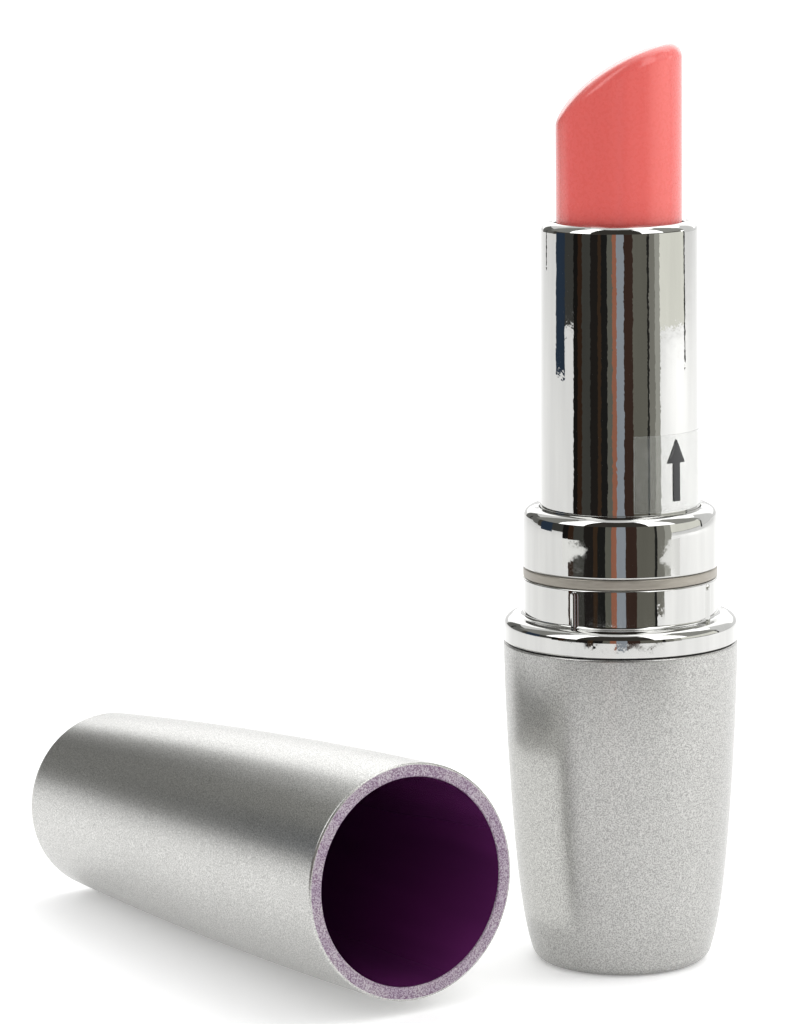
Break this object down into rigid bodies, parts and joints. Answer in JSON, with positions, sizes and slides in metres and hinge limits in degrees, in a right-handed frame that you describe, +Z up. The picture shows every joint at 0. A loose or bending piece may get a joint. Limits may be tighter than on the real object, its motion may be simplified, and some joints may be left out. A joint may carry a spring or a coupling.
{
  "type": "lipstick case",
  "caption": "Twist-up lipstick case standing open, with a barrel-shaped base, mirror tube, raised slanted bullet and a matching tapered cap lying beside it.",
  "frame": {"origin": "centre of the flat foot of the base, on the case's own axis and on the floor", "axes": "+Z up along the case's axis, +Y along the lying cap from its mouth towards its closed end, +X completes the right-handed set"},
  "size_m": [0.0506, 0.0669, 0.0896],
  "materials": {
    "silver_spray": "satin silver metallic spray over moulded plastic",
    "chrome_plating": "mirror chrome plating over moulded plastic",
    "bright_tube": "mirror bright drawn tube",
    "ring_grey": "matt warm grey",
    "coral": "soft gloss coral pink wax",
    "clear_film": "clear self-adhesive film",
    "white_plastic": "natural moulded plastic",
    "weight_steel": "plain steel",
    "silicone": "matt silicone",
    "cap_spray": "satin silver spray outside over clear purple plastic, bare purple inside"
  },
  "bodies": {
    "base": {"base_shell": "silver_spray", "base_insert": "white_plastic", "base_weight": "weight_steel", "lower_collar": "chrome_plating", "seal_ring": "ring_grey", "guide_tube": "white_plastic"},
    "sleeve": {"upper_collar": "chrome_plating", "sleeve_tube": "bright_tube", "spiral_cam": "white_plastic", "friction_ring": "silicone", "clear_label": "clear_film"},
    "carrier": {"carrier_cup": "white_plastic", "bullet": "coral"},
    "cap": {"cap_shell": "cap_spray"}
  },
  "joints": [
    {"name": "swivel", "type": "hinge", "parent": "base", "child": "sleeve", "pos_m": [0, 0, 0.0392], "axis": [0, 0, 1], "range_deg": [0, 450]},
    {"name": "carrier_lift", "type": "slide", "parent": "base", "child": "carrier", "axis": [0, 0, 1], "range_m": [-0.02, 0]},
    {"name": "cap_tip_up", "type": "hinge", "parent": "base", "child": "cap", "pos_m": [-0.0279, -0.00557, 0], "axis": [1, 0, 0], "range_deg": [0, 93.07]}
  ],
  "couplings": [
    {"joint": "carrier_lift", "follows": "swivel", "m_per_rad": -0.0025464}
  ]
}
